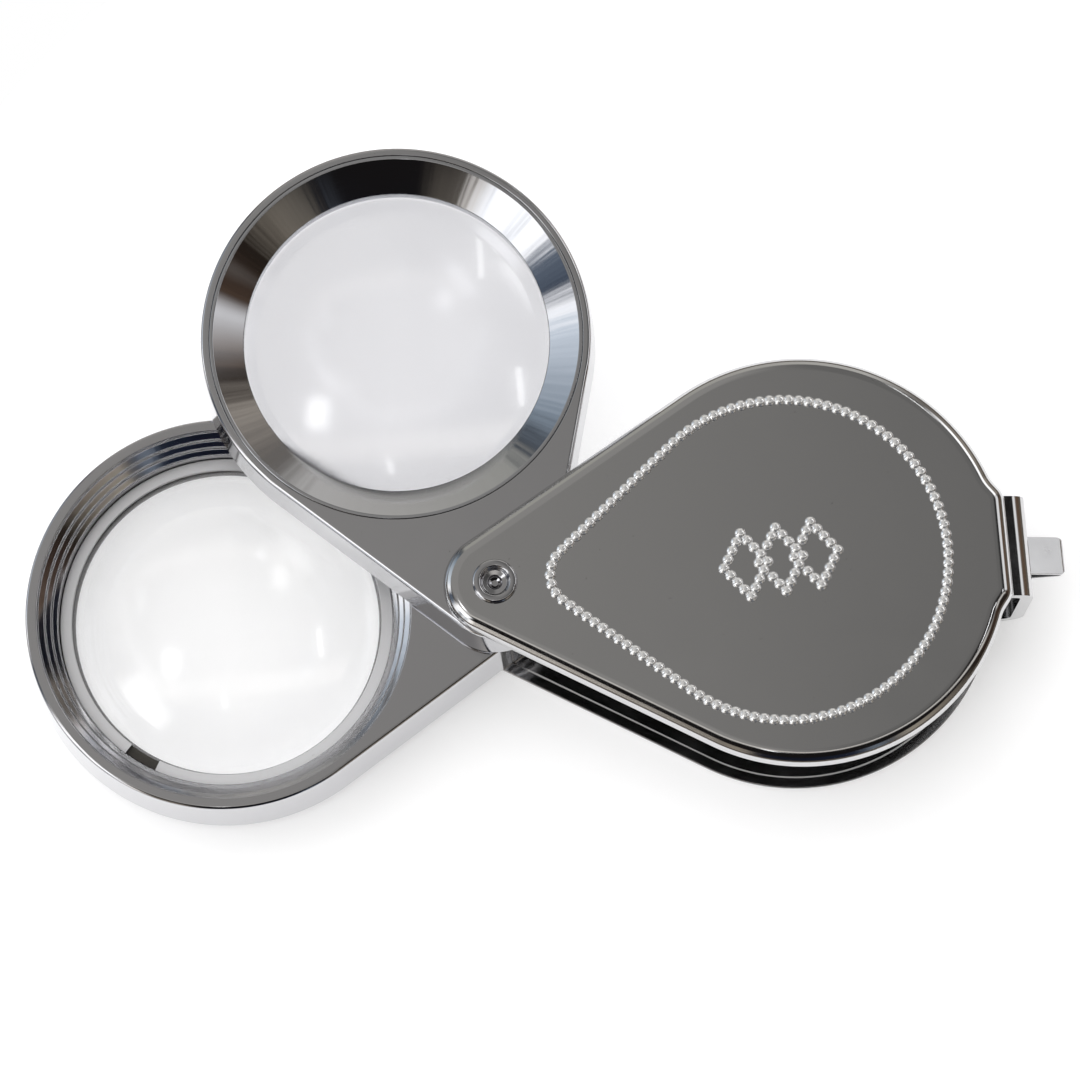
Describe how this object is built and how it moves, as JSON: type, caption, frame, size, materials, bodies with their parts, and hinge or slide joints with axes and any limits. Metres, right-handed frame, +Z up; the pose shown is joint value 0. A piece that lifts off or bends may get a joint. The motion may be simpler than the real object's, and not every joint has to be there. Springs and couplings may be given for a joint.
{
  "type": "folding hand lens",
  "caption": "Folding pocket hand lens: round lens frames swing on a rivet out of a teardrop metal case with a beaded top cover and a lanyard loop.",
  "frame": {"origin": "on the rest face of the bottom cover, under the centre of the case's round end", "axes": "+X from the rivet to the folded strap with the lanyard loop, +Z up through the stacked lens frames to the beaded top cover"},
  "size_m": [0.0721, 0.0455, 0.0127],
  "materials": {
    "case_chrome": "bright chrome plate on pressed sheet",
    "bead_chrome": "raised faceted beads, bright",
    "loop_steel": "soft bright plate on thin strip",
    "rivet_chrome": "bright plated tubular rivet",
    "washer_brass": "thin stamped washer",
    "spring_steel": "blued spring steel",
    "frame_chrome": "bright chrome plate on a turned frame",
    "bezel_mirror": "mirror-polished funnel",
    "bush_brass": "pressed bush",
    "ring_steel": "satin spring ring",
    "spacer_fibre": "thin black shim",
    "lens_glass": "clear ground glass"
  },
  "bodies": {
    "case": {"folded_case": "case_chrome", "bead_border": "bead_chrome", "bead_emblem": "bead_chrome", "lanyard_loop": "loop_steel", "pivot_rivet": "rivet_chrome", "bottom_washer": "washer_brass", "middle_washer": "washer_brass", "top_washer": "washer_brass", "spring_washer": "spring_steel"},
    "lower_frame": {"lower_lens_frame": "frame_chrome", "lower_pivot_bush": "bush_brass", "lower_bezel": "bezel_mirror", "lower_lens": "lens_glass", "lower_spacer_ring": "spacer_fibre", "lower_retaining_ring": "ring_steel"},
    "upper_frame": {"upper_lens_frame": "frame_chrome", "upper_pivot_bush": "bush_brass", "upper_bezel": "bezel_mirror", "upper_lens": "lens_glass", "upper_spacer_ring": "spacer_fibre", "upper_retaining_ring": "ring_steel"}
  },
  "joints": [
    {"name": "lower_swing", "type": "hinge", "parent": "case", "child": "lower_frame", "pos_m": [-0.02075, 0, 0], "axis": [0, 0, 1], "range_deg": [-178.8, 181.2]},
    {"name": "upper_swing", "type": "hinge", "parent": "case", "child": "upper_frame", "pos_m": [-0.02075, 0, 0], "axis": [0, 0, 1], "range_deg": [-106.9, 253.1]}
  ]
}
